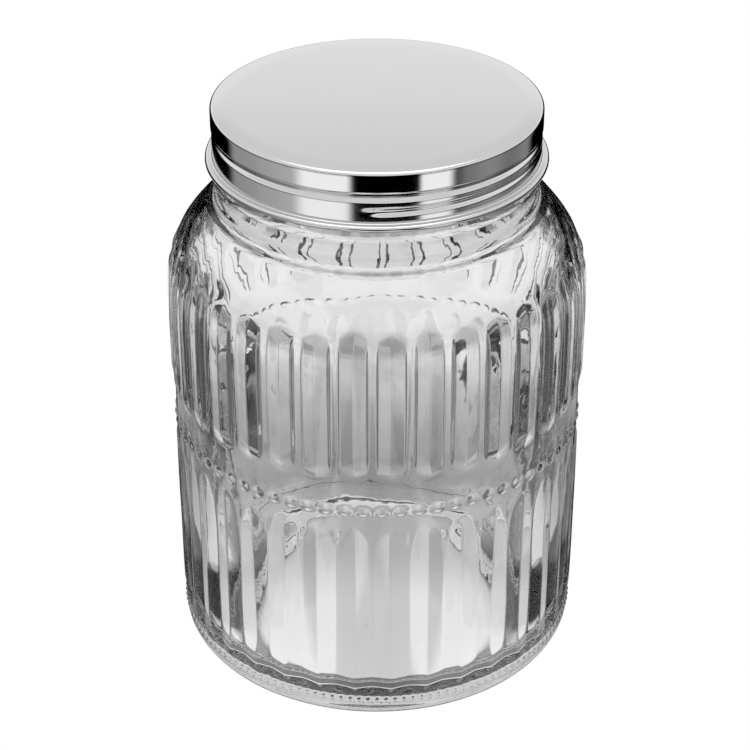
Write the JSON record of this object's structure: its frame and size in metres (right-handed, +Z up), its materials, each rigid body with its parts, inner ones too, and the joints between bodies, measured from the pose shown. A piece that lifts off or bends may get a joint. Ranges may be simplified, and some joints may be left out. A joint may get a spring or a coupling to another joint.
{
  "type": "glass storage jar with screw lid",
  "caption": "Ribbed clear glass storage jar, empty, with a polished steel screw lid on its mouth, standing on a flat foot ring.",
  "frame": {"origin": "centre of the foot ring, on the surface that the jar stands on", "axes": "+Z up along the jar's axis, -Y towards the front, where one rib's crest lies"},
  "size_m": [0.144, 0.144, 0.2025],
  "materials": {
    "glass": "clear pressed glass, fire-polished",
    "steel": "polished steel sheet"
  },
  "bodies": {
    "root": {"jar": "glass", "lid": "steel"}
  },
  "joints": []
}
